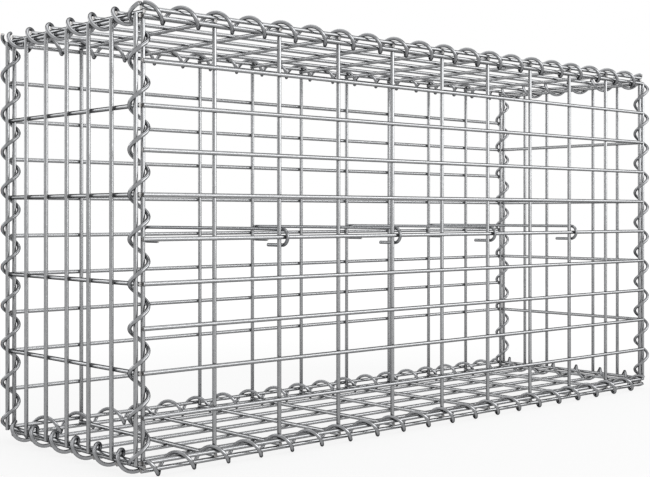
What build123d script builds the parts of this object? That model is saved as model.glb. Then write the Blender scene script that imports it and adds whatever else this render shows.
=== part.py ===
from build123d import *

import os
from math import atan2, ceil, cos, degrees, floor, hypot, pi, radians, sin, sqrt, tan

# Empty gabion basket: six welded-mesh panels laced together along their twelve edges by
# spiral binders, and held front to back by cross ties with hooked ends.
# Millimetres, +Z up. The origin is on the ground, under the middle of the basket.
# X runs along the basket, the front is towards -Y.

# Basket, measured between the axes of the outermost wires of the front and end panels
LENGTH = 1000.0
DEPTH = 300.0
HEIGHT = 500.0

# Mesh
NARROW_PITCH = 50.0
WIDE_PITCH = 100.0
MESH_WIRE = 5.25
WELD_SINK = 1.05        # how far two crossing wires are pressed into each other
STUB = 0.3              # wire left past the side of the last wire it crosses

# Spiral binders
SPIRAL_WIRE = 4.75
SPIRAL_PITCH = 50.0
SPIRAL_SIDES = 6        # straight stretches that stand for one round turn
BACK_SET_IN = 3.0       # the back bottom binder's axis, from its edge into the basket
SPIRAL_SHORT = 10.0     # from a corner to the end of a binder that stops short of it
SPIRAL_PAST = 12.0      # past a corner to the end of a binder that runs on to the lid

# Cross ties
TIE_WIRE = 4.5
TIE_COUNT = 4
TIE_BEND = 10.0         # radius of the hook, to the wire's axis
TIE_LEG = 28.0          # straight end of the hook, after the bend
TIE_BESIDE = 6.0        # from the axis of an upright to the tie beside it
TIE_BEND_STEPS = 7      # odd, so that a flat of the hook bears on the wire

FIT = 0.3               # clearance between wires that bear on each other unwelded

# A drawn wire becomes a bar of few sides with the same area of section. A mesh bar is as
# thick as its layer, so that the two layers meet flat on flat, and wider to make up for it
HEX_FLATS = sqrt(pi / (2 * sqrt(3)))
SQUARE_SIDE = sqrt(pi) / 2

LAYER = MESH_WIRE - WELD_SINK           # between the axes of a mesh's two layers
BAR_WIDTH = pi / 4 * MESH_WIRE ** 2 / LAYER
BAR_CORNER = hypot(BAR_WIDTH, LAYER) / 2
SPIRAL_BAR = SPIRAL_WIRE * SQUARE_SIDE
TIE_BAR = TIE_WIRE * HEX_FLATS
OVERHANG = BAR_WIDTH / 2 + STUB         # past the axis of the last wire

# The end panels stand clear of the cut ends of the long wires, and so do lid and base
CLEAR_OF_ENDS = OVERHANG + FIT + LAYER / 2
END_OUT = CLEAR_OF_ENDS + LAYER         # from the front's last upright to the end's
LID_RISE = CLEAR_OF_ENDS + LAYER        # from the top wire of the front to the lid's

# A binder goes round the widest pair of edge wires, with the fit on both sides
REACH = hypot(LAYER, LID_RISE) / 2      # from the binder's axis to the wire it bears on


def spaced(span, pitch):
    """Places of evenly spaced wires over a span, as near to the pitch as fits."""
    bays = max(1, round(span / pitch))
    return [span * (i / bays - 0.5) for i in range(bays + 1)]


ALONG = spaced(LENGTH, WIDE_PITCH)
ACROSS = spaced(DEPTH, NARROW_PITCH)
UP = spaced(HEIGHT, NARROW_PITCH)
UP_WIDE = spaced(HEIGHT, WIDE_PITCH)


def mesh_bar(start, end, normal):
    """Straight bar of a mesh, whose layers lie one behind the other along the normal."""
    run = Vector(*end) - Vector(*start)
    section = Plane(origin=start, x_dir=run.cross(Vector(*normal)), z_dir=run)
    return extrude(section * Rectangle(BAR_WIDTH, LAYER), amount=run.length)


def mesh(width, height, across_at, up_at):
    """Flat welded mesh in the XZ plane: level bars in front, at Y = -LAYER, uprights at Y = 0."""
    x_end = width / 2 + OVERHANG
    z_end = height / 2 + OVERHANG
    level = [mesh_bar((-x_end, -LAYER, z), (x_end, -LAYER, z), (0, 1, 0)) for z in up_at]
    upright = [mesh_bar((x, 0, -z_end), (x, 0, z_end), (0, 1, 0)) for x in across_at]
    return level[0].fuse(*level[1:], *upright)


def front_mesh():
    """Long wires outside, uprights inside."""
    return Pos(0, -DEPTH / 2, 0) * mesh(LENGTH, HEIGHT, ALONG, UP)


def end_mesh():
    """Left end: uprights outside, level wires inside."""
    flat = mesh(HEIGHT, DEPTH, UP_WIDE, ACROSS)
    stood = Rot(0, 90, 0) * flat
    turned = Rot(0, 0, -90) * stood
    return Pos(-LENGTH / 2 - END_OUT + LAYER, 0, 0) * turned


def lid_mesh():
    """Long wires on top, cross wires under them."""
    flat = Rot(-90, 0, 0) * mesh(LENGTH, DEPTH, ALONG, ACROSS)
    return Pos(0, 0, HEIGHT / 2 + LID_RISE - LAYER) * flat


def faceted_bar(sections):
    """Closed solid through matching cross-sections, in flat three-cornered facets."""
    facets = [Face(Wire.make_polygon(sections[0])), Face(Wire.make_polygon(sections[-1]))]
    for near, far in zip(sections, sections[1:]):
        for i in range(len(near)):
            j = (i + 1) % len(near)
            facets.append(Face(Wire.make_polygon([near[i], near[j], far[j]])))
            facets.append(Face(Wire.make_polygon([near[i], far[j], far[i]])))
    return Solid(Shell(facets))


# For each direction a binder can run: its two cross axes and its run, right-handed
FRAMES = {
    "along": (Vector(0, 1, 0), Vector(0, 0, 1), Vector(1, 0, 0)),
    "across": (Vector(1, 0, 0), Vector(0, 0, 1), Vector(0, -1, 0)),
    "up": (Vector(1, 0, 0), Vector(0, 1, 0), Vector(0, 0, 1)),
}


def bent_radius(reach):
    """Axis to bend, where a bend of the binder stands over each wire it bears on."""
    return reach + (BAR_CORNER + FIT) / cos(pi / SPIRAL_SIDES) + SPIRAL_BAR / 2


def straight_radius(reach):
    """Axis to bend, where the binder's straight stretches clear the wires all round."""
    return (reach + BAR_CORNER + FIT + SPIRAL_BAR / 2) / cos(pi / SPIRAL_SIDES)


def spiral(direction, axis, radius, bend_at, at_crossing, wires, past=(0, 0)):
    """Right-handed binder round one edge, from corner to corner of the basket.

    axis is its place in the two cross axes and bend_at the angle of one of its bends;
    at_crossing is the angle at which it passes each wire of the mesh, and wires are the
    places of those wires along the edge. past is how far its two ends run beyond the
    corners. Its sections are cut in planes through its axis, where a square wire on the
    slant is wider than it is thick.
    """
    u, v, run = FRAMES[direction]
    bay = wires[1] - wires[0]
    pitch = bay / max(1, round(bay / SPIRAL_PITCH))
    rise = pitch / SPIRAL_SIDES
    lead = (bend_at - at_crossing) / 360 * pitch + wires[0]
    chord = 2 * radius * sin(pi / SPIRAL_SIDES)
    thick = SPIRAL_BAR / 2
    wide = thick * hypot(chord, rise) / chord

    def section(bend):
        angle = radians(bend_at + 360 / SPIRAL_SIDES * bend)
        out = u * cos(angle) + v * sin(angle)
        middle = u * axis[0] + v * axis[1] + run * (lead + rise * bend) + out * radius
        corners = [(1, 1), (1, -1), (-1, -1), (-1, 1)]
        return [middle + out * (thick * a) + run * (wide * b) for a, b in corners]

    def cut(place):
        """Section part of the way along the straight stretch that passes the place."""
        bend = floor((place - lead) / rise)
        share = (place - lead) / rise - bend
        near, far = section(bend), section(bend + 1)
        return [a * (1 - share) + b * share for a, b in zip(near, far)]

    start, stop = wires[0] - past[0], wires[-1] + past[1]
    first = floor((start - lead) / rise) + 1
    last = ceil((stop - lead) / rise) - 1
    between = [section(bend) for bend in range(first, last + 1)]
    return faceted_bar([cut(start)] + between + [cut(stop)])


def cross_tie(x):
    """Straight rod with a hook at each end, bearing on a level wire of front and back."""
    half_bend = pi / 2 / TIE_BEND_STEPS
    flat = TIE_BEND * sin(half_bend) - TIE_BAR / 2 * tan(half_bend)
    corner_room = max(0, BAR_WIDTH / 2 - flat) * tan(2 * half_bend)
    apex = DEPTH / 2 + LAYER * 1.5 + FIT + corner_room + TIE_BAR / 2
    bend_at = apex - TIE_BEND * cos(half_bend)
    half_turn = [pi * i / TIE_BEND_STEPS for i in range(TIE_BEND_STEPS + 1)]
    hook = [(bend_at + TIE_BEND * sin(a), TIE_BEND * cos(a)) for a in half_turn]
    hook.append((bend_at - TIE_LEG, -TIE_BEND))
    route = [(-y, z) for y, z in reversed(hook)] + hook
    path = Polyline(*[(x, y, z + TIE_LEVEL) for y, z in route])
    start = Plane(origin=path @ 0, x_dir=(1, 0, 0), z_dir=path % 0)
    section = start * RegularPolygon(TIE_BAR / sqrt(3), 6)
    return sweep(section, path=path, transition=Transition.RIGHT)


# Edge wires, as places in the plane across the edge
LID_LONG = HEIGHT / 2 + LID_RISE            # long wires of lid and base
LID_CROSS = LID_LONG - LAYER                # cross wires of lid and base
END_LEVEL = LENGTH / 2 + END_OUT - LAYER    # level wires of the ends
PAIR_LEAN = degrees(atan2(LID_RISE, LAYER)) # slope of the pair at a long edge

# The tie lies on the level wire nearest to mid height
TIE_LEVEL = UP[len(UP) // 2]


def off(wire, distance, angle):
    """The place at a distance from a wire, away from it at an angle."""
    return wire[0] + distance * cos(radians(angle)), wire[1] + distance * sin(radians(angle))


def binders():
    """All twelve: where each lies, and how it threads past the wires that it meets."""
    front, end = DEPTH / 2, LENGTH / 2
    bent = bent_radius(REACH)

    # Long edges: between the long wire of the lid or base and the front's or back's last one
    lean = PAIR_LEAN
    front_top = off((-front, LID_LONG), REACH, lean + 180)
    back_top = off((front, LID_LONG), REACH, -lean)
    front_bottom = off((-front, -LID_LONG), REACH, 180 - lean)

    # The back bottom binder sits further in, to pass between the uprights and the base
    back_reach = hypot(REACH, BACK_SET_IN)
    back_lean = lean + degrees(atan2(BACK_SET_IN, REACH))
    back_bottom = off((front, -LID_LONG), back_reach, back_lean)
    back_wide = straight_radius(back_reach)

    # Top of the ends: under the lid's long wires, so that its turns pass over their cut
    # ends, and beside the end's top level wire
    below = LID_LONG - REACH
    beside = sqrt(REACH ** 2 - (below - HEIGHT / 2) ** 2)
    left_top = (beside - END_LEVEL, below)
    right_top = (END_LEVEL - beside, below)

    # Bottom of the ends: between the base's cross wire and the end's bottom level wire
    left_bottom = off((-end, -LID_CROSS), REACH, 135)
    right_bottom = off((end, -LID_CROSS), REACH, 45)

    # Upright edges: outside the last uprights of front and back
    left, right = -end - REACH, end + REACH
    short, up = (-SPIRAL_SHORT, -SPIRAL_SHORT), (0, SPIRAL_PAST)
    return {
        "spiral_front_top": spiral("along", front_top, bent, lean, 90, ALONG),
        "spiral_back_top": spiral("along", back_top, bent, 180 - lean, 120, ALONG, short),
        "spiral_front_bottom": spiral("along", front_bottom, bent, -lean, 130, ALONG),
        "spiral_back_bottom": spiral("along", back_bottom, back_wide, 0, 138, ALONG, short),
        "spiral_left_top": spiral("across", left_top, bent, 0, 105, ACROSS),
        "spiral_right_top": spiral("across", right_top, bent, 0, 75, ACROSS),
        "spiral_left_bottom": spiral("across", left_bottom, bent, -45, 15, ACROSS, short),
        "spiral_right_bottom": spiral("across", right_bottom, bent, -135, 315, ACROSS),
        "spiral_front_left": spiral("up", (left, -front), bent, 0, 145, UP, up),
        "spiral_back_left": spiral("up", (left, front), bent, 0, 86, UP, up),
        "spiral_front_right": spiral("up", (right, -front), bent, 180, 15, UP),
        "spiral_back_right": spiral("up", (right, front), bent, 180, 88, UP),
    }


def cross_ties():
    """Ties beside every second upright or so, evenly shared along the basket."""
    bays = len(ALONG) - 1
    ties = {}
    for number in range(1, TIE_COUNT + 1):
        upright = ALONG[round(bays * number / (TIE_COUNT + 1))]
        ties[f"cross_tie_{number}"] = cross_tie(upright + TIE_BESIDE)
    return ties


front_panel = front_mesh()
left_end_panel = end_mesh()
lid_panel = lid_mesh()

nodes = {
    "front_panel": front_panel,
    "back_panel": Rot(0, 0, 180) * front_panel,
    "left_end_panel": left_end_panel,
    "right_end_panel": Rot(0, 0, 180) * left_end_panel,
    "lid_panel": lid_panel,
    "base_panel": Rot(180, 0, 0) * lid_panel,
}
nodes.update(binders())
nodes.update(cross_ties())

# The basket rests on its lowest binders, so all is raised until they touch the ground
lowest = min(shape.bounding_box().min.Z for shape in nodes.values())
os.makedirs("parts", exist_ok=True)
for name, shape in nodes.items():
    export_step(Pos(0, 0, -lowest) * shape, f"parts/{name}.step")
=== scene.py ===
import cmath
import math

import bpy
from mathutils import Matrix, Vector


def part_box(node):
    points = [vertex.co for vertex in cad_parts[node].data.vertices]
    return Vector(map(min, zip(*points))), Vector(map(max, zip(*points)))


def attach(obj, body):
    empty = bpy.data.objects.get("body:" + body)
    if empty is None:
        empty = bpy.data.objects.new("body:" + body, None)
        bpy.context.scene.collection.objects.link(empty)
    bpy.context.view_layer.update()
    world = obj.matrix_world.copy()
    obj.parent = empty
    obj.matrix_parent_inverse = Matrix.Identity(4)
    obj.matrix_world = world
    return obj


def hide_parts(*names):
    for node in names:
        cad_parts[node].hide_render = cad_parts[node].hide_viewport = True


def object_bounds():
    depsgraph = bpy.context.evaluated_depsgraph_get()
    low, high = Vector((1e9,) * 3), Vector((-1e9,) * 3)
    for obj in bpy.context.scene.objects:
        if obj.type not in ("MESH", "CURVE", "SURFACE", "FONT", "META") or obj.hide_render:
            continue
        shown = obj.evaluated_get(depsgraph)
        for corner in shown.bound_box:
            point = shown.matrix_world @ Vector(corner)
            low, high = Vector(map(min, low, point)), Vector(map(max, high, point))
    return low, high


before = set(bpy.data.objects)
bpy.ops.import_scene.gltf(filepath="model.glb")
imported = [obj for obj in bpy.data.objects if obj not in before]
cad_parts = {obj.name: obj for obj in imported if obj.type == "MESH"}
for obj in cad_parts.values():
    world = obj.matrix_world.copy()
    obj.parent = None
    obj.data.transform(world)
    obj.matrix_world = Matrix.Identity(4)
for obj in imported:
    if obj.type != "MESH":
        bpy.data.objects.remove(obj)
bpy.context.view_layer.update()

# An empty gabion basket of galvanised welded mesh, laced along its twelve edges with spiral
# binders and held front to back by four hooked cross ties. Metres, +Z up, front towards -Y.

# Steel wire
# All of the basket is drawn steel wire, round, dipped in zinc and cut off square by shears.
# The die leaves faint lines along it, the zinc sets in dull and bright patches, and the
# sheared ends show bare steel. One tree sweeps such a wire along any path.
SHEARED_CORNER = 0.0004     # rounding of a cut end
SHEARED_SHARE = 0.86        # of the wire's width that stays flat on a cut end


def node(tree, kind, inputs=None, **settings):
    """One node of the tree, its inputs set to values or joined to outputs of other nodes."""
    made = tree.nodes.new(kind)
    for name, value in settings.items():
        setattr(made, name, value)
    for key, value in (inputs or {}).items():
        if isinstance(value, bpy.types.NodeSocket):
            tree.links.new(value, made.inputs[key])
        else:
            made.inputs[key].default_value = value
    return made


def calc(tree, operation, *values):
    """Result of one sum in a tree."""
    return node(tree, "ShaderNodeMath", dict(enumerate(values)), operation=operation).outputs[0]


def new_tree(name, **sockets):
    """Geometry tree with named inputs, and its input and output nodes."""
    tree = bpy.data.node_groups.new(name, "GeometryNodeTree")
    for label, kind in sockets.items():
        tree.interface.new_socket(label, in_out="INPUT", socket_type="NodeSocket" + kind)
    tree.interface.new_socket("Geometry", in_out="OUTPUT", socket_type="NodeSocketGeometry")
    given = tree.nodes.new("NodeGroupInput").outputs
    return tree, given, tree.nodes.new("NodeGroupOutput").inputs["Geometry"]


def mark(tree, geometry, name, value, domain="POINT", kind="FLOAT"):
    """Geometry with a value kept under a name, for the finish to read."""
    store = node(tree, "GeometryNodeStoreNamedAttribute",
                 {"Geometry": geometry, "Name": name, "Value": value},
                 data_type=kind, domain=domain)
    return store.outputs[0]


def drawn_wire_tree():
    """Round wire along a path, with sheared ends and its own length and section marked on it."""
    tree, given, out = new_tree("drawn_wire", Path="Geometry", Wire="Float", Sides="Int")
    length = node(tree, "GeometryNodeSplineParameter").outputs["Length"]
    path = mark(tree, given["Path"], "run", length)
    radius = calc(tree, "MULTIPLY", given["Wire"], 0.5)
    ring = node(tree, "GeometryNodeCurvePrimitiveCircle",
                {"Resolution": given["Sides"], "Radius": radius})
    place = node(tree, "GeometryNodeInputPosition").outputs[0]
    profile = mark(tree, ring.outputs["Curve"], "section", place, kind="FLOAT_VECTOR")
    tube = node(tree, "GeometryNodeCurveToMesh",
                {"Curve": path, "Profile Curve": profile, "Fill Caps": True}).outputs[0]
    smooth = node(tree, "GeometryNodeSetShadeSmooth", {"Geometry": tube}).outputs[0]
    corners = node(tree, "GeometryNodeInputMeshFaceNeighbors").outputs["Vertex Count"]
    is_end = node(tree, "FunctionNodeCompare", {2: corners, 3: 4},
                  data_type="INT", operation="GREATER_THAN").outputs[0]
    end = node(tree, "GeometryNodeExtrudeMesh",
               {"Mesh": smooth, "Selection": is_end, "Offset Scale": SHEARED_CORNER})
    drawn_in = node(tree, "GeometryNodeScaleElements",
                    {"Geometry": end.outputs["Mesh"], "Selection": end.outputs["Top"],
                     "Scale": SHEARED_SHARE}).outputs[0]
    flat = node(tree, "GeometryNodeSetShadeSmooth",
                {"Geometry": drawn_in, "Selection": end.outputs["Top"], "Shade Smooth": False})
    cut = mark(tree, flat.outputs[0], "cut", end.outputs["Top"], domain="FACE")
    tree.links.new(cut, out)
    return tree


drawn_wire = drawn_wire_tree()


def wire_along(tree, path, wire, sides):
    """Output of a drawn wire, as part of a larger tree."""
    return node(tree, "GeometryNodeGroup", {"Path": path, "Wire": wire, "Sides": sides},
                node_tree=drawn_wire).outputs[0]


def finish_off(tree, geometry, finish, out):
    """The end of a tree: every copy made real, in its finish."""
    real = node(tree, "GeometryNodeRealizeInstances", {"Geometry": geometry}).outputs[0]
    coated = node(tree, "GeometryNodeSetMaterial", {"Geometry": real, "Material": finish})
    tree.links.new(coated.outputs[0], out)


def made_by(tree, name, sizes, start=None):
    """Plain mesh object of what a tree makes with those sizes, from an empty mesh or a curve."""
    start = start or bpy.data.meshes.new(name + "_start")
    maker = bpy.data.objects.new(name + "_maker", start)
    bpy.context.scene.collection.objects.link(maker)
    modifier = maker.modifiers.new("make", "NODES")
    modifier.node_group = tree
    for item in tree.interface.items_tree:
        if item.in_out == "INPUT" and item.name in sizes:
            modifier[item.identifier] = sizes[item.name]
    ready = maker.evaluated_get(bpy.context.evaluated_depsgraph_get())
    piece = bpy.data.objects.new(name, bpy.data.meshes.new_from_object(ready))
    bpy.context.scene.collection.objects.link(piece)
    bpy.data.objects.remove(maker)
    return piece


# The finish's patterns, in features to the metre along the wire and across it
PATCHES = (260.0, 420.0)
DIE_LINES = (25.0, 2600.0)
GRIT = (1900.0, 1900.0)
STRETCH_APART = 37.0        # metres of pattern between the palest and the darkest wire
WELD_COLOUR = (0.27, 0.27, 0.27, 1.0)
CUT_COLOUR = (0.3, 0.295, 0.29, 1.0)
EDGE_TINT = (0.05, 0.05, 0.05, 1.0)


def zinc_finish(name, bright, dull, roughness):
    """Zinc on drawn wire: patches that set bright or dull, die lines along the wire, an even
    grey at the welds, and bare steel at the cuts."""
    finish = bpy.data.materials.new(name)
    finish.use_nodes = True
    tree = finish.node_tree
    tree.nodes.clear()

    def kept(label):
        return node(tree, "ShaderNodeAttribute", attribute_name=label).outputs

    # Length along the wire and place in its section; every wire has another stretch of noise
    section = node(tree, "ShaderNodeSeparateXYZ", {0: kept("section")["Vector"]}).outputs
    tone = kept("tone")["Fac"]
    stretch = calc(tree, "MULTIPLY_ADD", tone, STRETCH_APART, kept("run")["Fac"])
    grain = node(tree, "ShaderNodeCombineXYZ",
                 {0: stretch, 1: section[0], 2: section[1]}).outputs[0]

    def noise(pattern, detail):
        along, across = pattern
        scaled = node(tree, "ShaderNodeMapping",
                      {"Vector": grain, "Scale": (along, across, across)}).outputs[0]
        return node(tree, "ShaderNodeTexNoise",
                    {"Vector": scaled, "Scale": 1.0, "Detail": detail}).outputs["Fac"]

    patches = noise(PATCHES, 3.0)
    die_lines = noise(DIE_LINES, 2.0)
    grit = noise(GRIT, 2.0)

    def between(value, low, high, at_low, at_high):
        ramp = node(tree, "ShaderNodeMapRange",
                    {"Value": value, "From Min": low, "From Max": high,
                     "To Min": at_low, "To Max": at_high}, interpolation_type="SMOOTHSTEP")
        return ramp.outputs[0]

    def mixed(share, first, second):
        return node(tree, "ShaderNodeMix", {0: share, 6: first, 7: second},
                    data_type="RGBA").outputs[2]

    dullness = between(patches, 0.35, 0.65, 0.0, 1.0)
    zinc = mixed(dullness, (*bright, 1.0), (*dull, 1.0))
    lined = mixed(between(die_lines, 0.5, 0.75, 0.0, 0.3), zinc, (*dull, 1.0))
    level = between(tone, 0.0, 1.0, 0.93, 1.05)
    shaded = node(tree, "ShaderNodeVectorMath", {0: lined, "Scale": level},
                  operation="SCALE").outputs[0]
    welded = mixed(kept("weld")["Fac"], shaded, WELD_COLOUR)
    colour = mixed(kept("cut")["Fac"], welded, CUT_COLOUR)

    rough = calc(tree, "MULTIPLY_ADD", dullness, 0.05, roughness)
    rough = calc(tree, "MULTIPLY_ADD", grit, 0.08, rough)
    rough = calc(tree, "MULTIPLY_ADD", kept("cut")["Fac"], 0.2, rough)
    relief = calc(tree, "MULTIPLY_ADD", grit, 0.25, die_lines)
    relief = calc(tree, "MULTIPLY_ADD", patches, 0.4, relief)
    bump = node(tree, "ShaderNodeBump", {"Height": relief, "Strength": 0.12, "Distance": 0.00003})
    surface = node(tree, "ShaderNodeBsdfPrincipled",
                   {"Base Color": colour, "Metallic": 1.0, "Roughness": rough,
                    "Specular Tint": EDGE_TINT, "Normal": bump.outputs[0]})
    node(tree, "ShaderNodeOutputMaterial", {"Surface": surface.outputs[0]})
    return finish


# Mesh panels
# Front, back, ends, lid and base are welded mesh of 5.25 mm wire with windows of 50 by 100 mm:
# two layers of straight wires, fused by resistance welding where they cross, with a small
# collar of squeezed-out steel round each weld. The wires are cut off just past the last one.
LENGTH = 1.0
DEPTH = 0.3
HEIGHT = 0.5
NARROW_PITCH = 0.05
WIDE_PITCH = 0.1
MESH_WIRE = 0.00525
LAYER = 0.0042              # between the layers; less than the wire, which sinks in at welds
STUB = 0.00288              # past the axis of the last wire
MESH_SIDES = 16
WELD_SIZE = (0.0025, 0.0012, 0.0025)
UPRIGHT_SEED = 50.0         # added to a panel's seed for the tones of its other layer

mesh_zinc = zinc_finish("galvanised_mesh_wire", (0.31, 0.314, 0.32), (0.27, 0.274, 0.28), 0.15)


def welded_mesh_tree():
    """Flat mesh in the XZ plane, level wires in front of the uprights, then set in its place."""
    tree, given, out = new_tree(
        "welded_mesh", Width="Float", Height="Float", Uprights="Int", Levels="Int", Wire="Float",
        Layer="Float", Stub="Float", Turn="Rotation", Place="Vector", Seed="Int", Finish="Material")

    def spread(direction, span, count, turn, wire_span, seed):
        """Wires of one layer, evenly spread, each with a tone of its own."""
        half = calc(tree, "ADD", calc(tree, "MULTIPLY", wire_span, 0.5), given["Stub"])
        to_end = node(tree, "ShaderNodeCombineXYZ", {0: half}).outputs[0]
        from_end = node(tree, "ShaderNodeVectorMath", {0: to_end, "Scale": -1.0},
                        operation="SCALE").outputs[0]
        line = node(tree, "GeometryNodeCurvePrimitiveLine", {"Start": from_end, "End": to_end})
        wire = wire_along(tree, line.outputs[0], given["Wire"], MESH_SIDES)
        turned = node(tree, "GeometryNodeTransform",
                      {"Geometry": wire, "Rotation": turn}).outputs[0]
        first = calc(tree, "MULTIPLY", span, -0.5)
        gap = calc(tree, "DIVIDE", span, calc(tree, "SUBTRACT", count, 1.0))
        axis = {"X": 0, "Z": 2}[direction]
        start = node(tree, "ShaderNodeCombineXYZ", {axis: first}).outputs[0]
        step = node(tree, "ShaderNodeCombineXYZ", {axis: gap}).outputs[0]
        places = node(tree, "GeometryNodeMeshLine",
                      {"Count": count, "Start Location": start, "Offset": step}).outputs[0]
        copies = node(tree, "GeometryNodeInstanceOnPoints", {"Points": places, "Instance": turned})
        chance = node(tree, "FunctionNodeRandomValue", {2: 0.0, 3: 1.0, "Seed": seed}).outputs[1]
        return mark(tree, copies.outputs[0], "tone", chance, domain="INSTANCE")

    forward = node(tree, "ShaderNodeCombineXYZ", {1: calc(tree, "MULTIPLY", given["Layer"], -1.0)})
    level_wires = spread("Z", given["Height"], given["Levels"], (0, 0, 0), given["Width"],
                         given["Seed"])
    levels = node(tree, "GeometryNodeTransform",
                  {"Geometry": level_wires, "Translation": forward.outputs[0]}).outputs[0]
    uprights = spread("X", given["Width"], given["Uprights"], (0, -math.pi / 2, 0), given["Height"],
                      calc(tree, "ADD", given["Seed"], UPRIGHT_SEED))

    crossings = node(tree, "GeometryNodeMeshGrid",
                     {"Size X": given["Width"], "Size Y": given["Height"],
                      "Vertices X": given["Uprights"], "Vertices Y": given["Levels"]}).outputs[0]
    at_weld = node(tree, "ShaderNodeCombineXYZ", {1: calc(tree, "MULTIPLY", given["Layer"], -0.5)})
    stood = node(tree, "GeometryNodeTransform",
                 {"Geometry": crossings, "Rotation": (math.pi / 2, 0, 0),
                  "Translation": at_weld.outputs[0]}).outputs[0]
    ball = node(tree, "GeometryNodeMeshIcoSphere", {"Radius": 1.0, "Subdivisions": 2}).outputs[0]
    collar = node(tree, "GeometryNodeTransform", {"Geometry": ball, "Scale": WELD_SIZE}).outputs[0]
    collar = mark(tree, node(tree, "GeometryNodeSetShadeSmooth", {"Geometry": collar}).outputs[0],
                  "weld", 1.0)
    size = node(tree, "FunctionNodeRandomValue",
                {2: 0.85, 3: 1.1, "Seed": given["Seed"]}).outputs[1]
    welds = node(tree, "GeometryNodeInstanceOnPoints",
                 {"Points": stood, "Instance": collar, "Scale": size}).outputs[0]

    joined = node(tree, "GeometryNodeJoinGeometry")
    for part in (welds, uprights, levels):
        tree.links.new(part, joined.inputs[0])
    set_up = node(tree, "GeometryNodeTransform",
                  {"Geometry": joined.outputs[0], "Rotation": given["Turn"],
                   "Translation": given["Place"]}).outputs[0]
    finish_off(tree, set_up, given["Finish"], out)
    return tree


welded_mesh = welded_mesh_tree()


def middle(name):
    """Centre of a CAD node's box."""
    low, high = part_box(name)
    return (low + high) / 2


def panel(name, width, height, turns, seed):
    """One mesh panel. The middle of its box lies between its two layers. turns is an angle and
    its axis, twice: the second is turned through first."""
    last_angle, last_axis, first_angle, first_axis = turns
    turn = (Matrix.Rotation(math.radians(last_angle), 3, last_axis)
            @ Matrix.Rotation(math.radians(first_angle), 3, first_axis))
    place = middle(name) - turn @ Vector((0, -LAYER / 2, 0))
    piece = made_by(welded_mesh, name + "_wires", {
        "Width": width, "Height": height,
        "Uprights": round(width / WIDE_PITCH) + 1, "Levels": round(height / NARROW_PITCH) + 1,
        "Wire": MESH_WIRE, "Layer": LAYER, "Stub": STUB - SHEARED_CORNER,
        "Turn": turn.to_euler(), "Place": place, "Seed": seed, "Finish": mesh_zinc})
    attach(piece, "root")
    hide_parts(name)


panel("front_panel", LENGTH, HEIGHT, (0, "Z", 0, "X"), 1)
panel("back_panel", LENGTH, HEIGHT, (180, "Z", 0, "X"), 2)
panel("lid_panel", LENGTH, DEPTH, (0, "Z", -90, "X"), 3)
panel("base_panel", LENGTH, DEPTH, (0, "Z", 90, "X"), 4)
# The ends are the same mesh on its side, so that their uprights are the outer layer
panel("left_end_panel", HEIGHT, DEPTH, (-90, "Z", 90, "Y"), 5)
panel("right_end_panel", HEIGHT, DEPTH, (90, "Z", 90, "Y"), 6)


# Spiral binders
# Twelve coils of 4.75 mm wire, screwed on along the edges of neighbouring panels so that each
# turn goes round both edge wires. They are right-handed and have one turn to every 50 mm.
BINDER_WIRE = 0.00475
BINDER_RADIUS = 0.01048     # to the wire's axis
WIDER_AT_BACK = 0.00081     # added for the one that sits further in, below the back
BINDER_PITCH = 0.05
BINDER_END = 0.00254        # from the middle of a coil's cut end to the end of its box
BINDER_STEPS = 28           # to a turn
BINDER_SIDES = 12
BINDER_TONE_STEP = 0.37     # from one binder's tone to the next one's

binder_zinc = zinc_finish("galvanised_spiral_wire",
                          (0.29, 0.294, 0.302), (0.25, 0.254, 0.262), 0.12)


def binder_tree():
    """Coil about its own Z, turned to its phase and then set along its edge."""
    tree, given, out = new_tree(
        "spiral_binder", Turns="Float", Radius="Float", Pitch="Float", Wire="Float", Phase="Float",
        Turn="Rotation", Place="Vector", Tone="Float", Finish="Material")
    run = calc(tree, "MULTIPLY", given["Turns"], given["Pitch"])
    coil = node(tree, "GeometryNodeCurveSpiral",
                {"Resolution": BINDER_STEPS, "Rotations": given["Turns"],
                 "Start Radius": given["Radius"], "End Radius": given["Radius"], "Height": run,
                 "Reverse": True})
    spun = node(tree, "ShaderNodeCombineXYZ", {2: given["Phase"]}).outputs[0]
    phased = node(tree, "GeometryNodeTransform",
                  {"Geometry": coil.outputs[0], "Rotation": spun}).outputs[0]
    placed = node(tree, "GeometryNodeTransform",
                  {"Geometry": phased, "Rotation": given["Turn"], "Translation": given["Place"]})
    toned = mark(tree, placed.outputs[0], "tone", given["Tone"])
    finish_off(tree, wire_along(tree, toned, given["Wire"], BINDER_SIDES), given["Finish"], out)
    return tree


spiral_binder = binder_tree()

# The two cross axes and the run of a binder, by the way it lies
BINDER_AXES = {
    "along": (Vector((0, 1, 0)), Vector((0, 0, 1)), Vector((1, 0, 0))),
    "across": (Vector((1, 0, 0)), Vector((0, 0, 1)), Vector((0, -1, 0))),
    "up": (Vector((1, 0, 0)), Vector((0, 1, 0)), Vector((0, 0, 1))),
}


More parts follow.
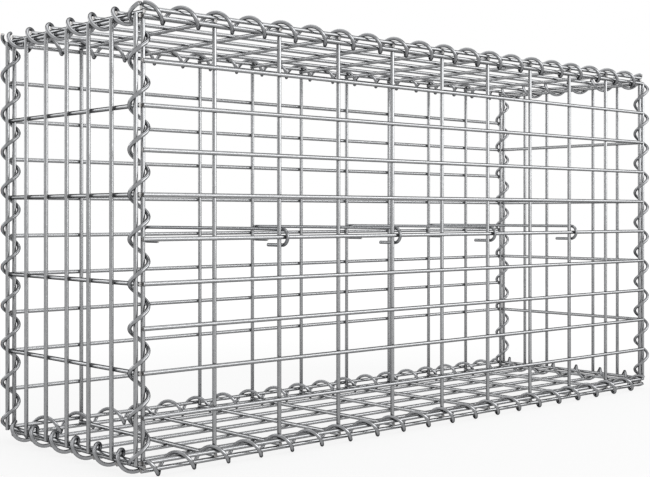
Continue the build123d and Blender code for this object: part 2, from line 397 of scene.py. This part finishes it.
def binder(name, way, radius, tone):
    """One binder, in the place, phase and length of its CAD coil."""
    u, v, run = BINDER_AXES[way]
    axis = middle(name)
    corners = [corner.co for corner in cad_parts[name].data.vertices]
    # Each corner's place round the axis, with the turns up to it taken off
    unwound = [complex((c - axis).dot(u), (c - axis).dot(v))
               * cmath.exp(-2j * math.pi * c.dot(run) / BINDER_PITCH) for c in corners]
    start = min(c.dot(run) for c in corners) + BINDER_END
    end = max(c.dot(run) for c in corners) - BINDER_END
    phase = cmath.phase(sum(unwound)) + 2 * math.pi * start / BINDER_PITCH
    piece = made_by(spiral_binder, name + "_wire", {
        "Turns": (end - start) / BINDER_PITCH, "Radius": radius, "Pitch": BINDER_PITCH,
        "Wire": BINDER_WIRE, "Phase": phase, "Turn": Matrix((u, v, run)).transposed().to_euler(),
        "Place": axis + run * (start - axis.dot(run)), "Tone": tone, "Finish": binder_zinc})
    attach(piece, "root")
    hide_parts(name)


ways = {"top": "along", "bottom": "along", "left": "up", "right": "up"}
edges = [f"{side}_{edge}" for side in ("front", "back") for edge in ways]
edges += [f"{side}_{edge}" for side in ("left", "right") for edge in ("top", "bottom")]
for number, edge in enumerate(edges):
    side, place = edge.split("_")
    way = "across" if side in ("left", "right") else ways[place]
    radius = BINDER_RADIUS + (WIDER_AT_BACK if edge == "back_bottom" else 0)
    binder("spiral_" + edge, way, radius, (number * BINDER_TONE_STEP) % 1)


# Cross ties
# Four rods of 4.5 mm wire across the basket, a little above the middle level wire of front and
# back. Each end goes over that wire and back under it in a hook bent round a pin.
TIE_WIRE = 0.0045
TIE_BEND = 0.01             # radius of the hook, to the wire's axis
TIE_LEG = 0.028             # straight end of the hook
TIE_BEND_STEPS = 24
TIE_SIDES = 14
TIE_TONE_STEP = 0.23        # from one tie's tone to the next one's

# The ties' zinc is darker than the mesh and binder zinc: painted shade, standing in for the shade
# the ties lie in inside the basket.
tie_zinc_painted_shade = zinc_finish("galvanised_tie_wire_painted_shade", (0.24, 0.245, 0.252), (0.2, 0.205, 0.212), 0.2)


def tie_tree():
    """Wire along the path that the object itself is."""
    tree, given, out = new_tree("cross_tie", Path="Geometry", Wire="Float", Tone="Float",
                                Finish="Material")
    toned = mark(tree, given["Path"], "tone", given["Tone"])
    finish_off(tree, wire_along(tree, toned, given["Wire"], TIE_SIDES), given["Finish"], out)
    return tree


cross_tie = tie_tree()


def tie_path(name):
    """Hook, rod and hook in one line, symmetrical front to back."""
    low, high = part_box(name)
    x = (low.x + high.x) / 2
    rod = high.z - TIE_WIRE / 2
    bend = high.y - TIE_WIRE / 2 - TIE_BEND
    angles = [math.pi * i / TIE_BEND_STEPS for i in range(TIE_BEND_STEPS + 1)]
    hook = [(bend + TIE_BEND * math.sin(a), rod - TIE_BEND + TIE_BEND * math.cos(a))
            for a in angles]
    hook.append((bend - TIE_LEG, rod - 2 * TIE_BEND))
    route = [(-y, z) for y, z in reversed(hook)] + hook
    path = bpy.data.curves.new(name + "_path", "CURVE")
    path.dimensions = "3D"
    line = path.splines.new("POLY")
    line.points.add(len(route) - 1)
    for point, (y, z) in zip(line.points, route):
        point.co = (x, y, z, 1)
    return path


for number in range(1, 5):
    name = f"cross_tie_{number}"
    sizes = {"Wire": TIE_WIRE, "Tone": number * TIE_TONE_STEP, "Finish": tie_zinc_painted_shade}
    piece = made_by(cross_tie, name + "_wire", sizes, tie_path(name))
    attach(piece, "root")
    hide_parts(name)


# Surroundings
# A plain white floor that keeps a soft shadow, a white surround, and four soft lamps.
FLOOR_HALF = 20.0
FLOOR_GREY = (0.13, 0.13, 0.13, 1)
NEAR_GLOW = 0.84            # of white, under the object
NEAR, FAR = 0.5, 2.5        # where the floor starts to whiten, and where it is white
SURROUND_LIGHT = 0.4


def shown_white(tree):
    """One for what the eye, a reflection or glass sees, nought for all other light."""
    rays = node(tree, "ShaderNodeLightPath").outputs
    return calc(tree, "MAXIMUM", rays["Is Camera Ray"],
                calc(tree, "MAXIMUM", rays["Is Glossy Ray"], rays["Is Transmission Ray"]))


def stage_floor():
    """Plain floor: lit near the object, so that its shadow shows, and plain white far off."""
    finish = bpy.data.materials.new("floor_paper")
    finish.use_nodes = True
    tree = finish.node_tree
    tree.nodes.clear()
    seen = shown_white(tree)
    place = node(tree, "ShaderNodeTexCoord").outputs["Object"]
    distance = node(tree, "ShaderNodeVectorMath", {0: place}, operation="LENGTH").outputs["Value"]
    glow = node(tree, "ShaderNodeMapRange",
                {"Value": distance, "From Min": NEAR, "From Max": FAR,
                 "To Min": NEAR_GLOW, "To Max": 1.0})
    paper = node(tree, "ShaderNodeBsdfDiffuse", {"Color": FLOOR_GREY})
    strength = calc(tree, "MULTIPLY", seen, glow.outputs[0])
    light = node(tree, "ShaderNodeEmission", {"Color": (1, 1, 1, 1), "Strength": strength})
    both = node(tree, "ShaderNodeAddShader", {0: paper.outputs[0], 1: light.outputs[0]})
    node(tree, "ShaderNodeOutputMaterial", {"Surface": both.outputs[0]})
    mesh = bpy.data.meshes.new("floor")
    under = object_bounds()[0][2]
    corners = [(-1, -1), (1, -1), (1, 1), (-1, 1)]
    mesh.from_pydata([(x * FLOOR_HALF, y * FLOOR_HALF, under) for x, y in corners], [],
                     [(0, 1, 2, 3)])
    mesh.materials.append(finish)
    floor = bpy.data.objects.new("floor", mesh)
    bpy.context.scene.collection.objects.link(floor)


def surround():
    """White all round for the eye and for reflections, a plain grey for the rest."""
    world = bpy.data.worlds.new("surround")
    world.use_nodes = True
    bpy.context.scene.world = world
    tree = world.node_tree
    tree.nodes.clear()
    seen = shown_white(tree)
    soft = node(tree, "ShaderNodeBackground", {"Color": (1, 1, 1, 1), "Strength": SURROUND_LIGHT})
    white = node(tree, "ShaderNodeBackground", {"Color": (1, 1, 1, 1), "Strength": 1.0})
    both = node(tree, "ShaderNodeMixShader", {0: seen, 1: soft.outputs[0], 2: white.outputs[0]})
    node(tree, "ShaderNodeOutputWorld", {"Surface": both.outputs[0]})


def soft_lamp(name, place, aim, size, radiance):
    """Square soft box of one brightness all over."""
    lamp = bpy.data.lights.new(name, "AREA")
    lamp.shape = "RECTANGLE"
    lamp.size, lamp.size_y = size
    lamp.energy = radiance * math.pi * size[0] * size[1]
    holder = bpy.data.objects.new(name, lamp)
    holder.location = place
    holder.rotation_euler = (Vector(aim) - Vector(place)).to_track_quat("-Z", "Y").to_euler()
    holder.visible_camera = False
    bpy.context.scene.collection.objects.link(holder)


stage_floor()
surround()
soft_lamp("top_lamp", (0.2, 0.2, 2.8), (0.2, 0.2, 0.0), (3.0, 3.0), 1.3)
soft_lamp("right_lamp", (2.3, -2.3, 1.25), (0, 0, 0.4), (3.0, 1.7), 3.2)
soft_lamp("front_lamp", (0.2, -3.1, 1.05), (0, 0, 0.4), (2.0, 2.0), 2.6)
soft_lamp("left_lamp", (-2.0, 2.6, 1.2), (0, 0, 0.4), (1.8, 1.6), 2.6)


# Camera
# Level, left of the front, at a little over half the basket's height.
FOCAL_PIXELS = 1173.1       # focal length in pixels of the picture, which is 650 wide
PICTURE_WIDTH = 650
SENSOR = 36.0
HORIZON_ABOVE_MIDDLE = 23.44    # pixels
EYE = (-1.2372, -1.2567, 0.2943)
TURN_RIGHT = 42.495         # degrees, from looking straight at the front

eye = bpy.data.cameras.new("camera")
eye.sensor_width = SENSOR
eye.lens = FOCAL_PIXELS * SENSOR / PICTURE_WIDTH
eye.shift_y = -HORIZON_ABOVE_MIDDLE / PICTURE_WIDTH
camera = bpy.data.objects.new("camera", eye)
camera.location = EYE
camera.rotation_euler = (math.radians(90), 0, math.radians(-TURN_RIGHT))
bpy.context.scene.collection.objects.link(camera)
bpy.context.scene.camera = camera
bpy.context.scene.view_settings.view_transform = "Standard"
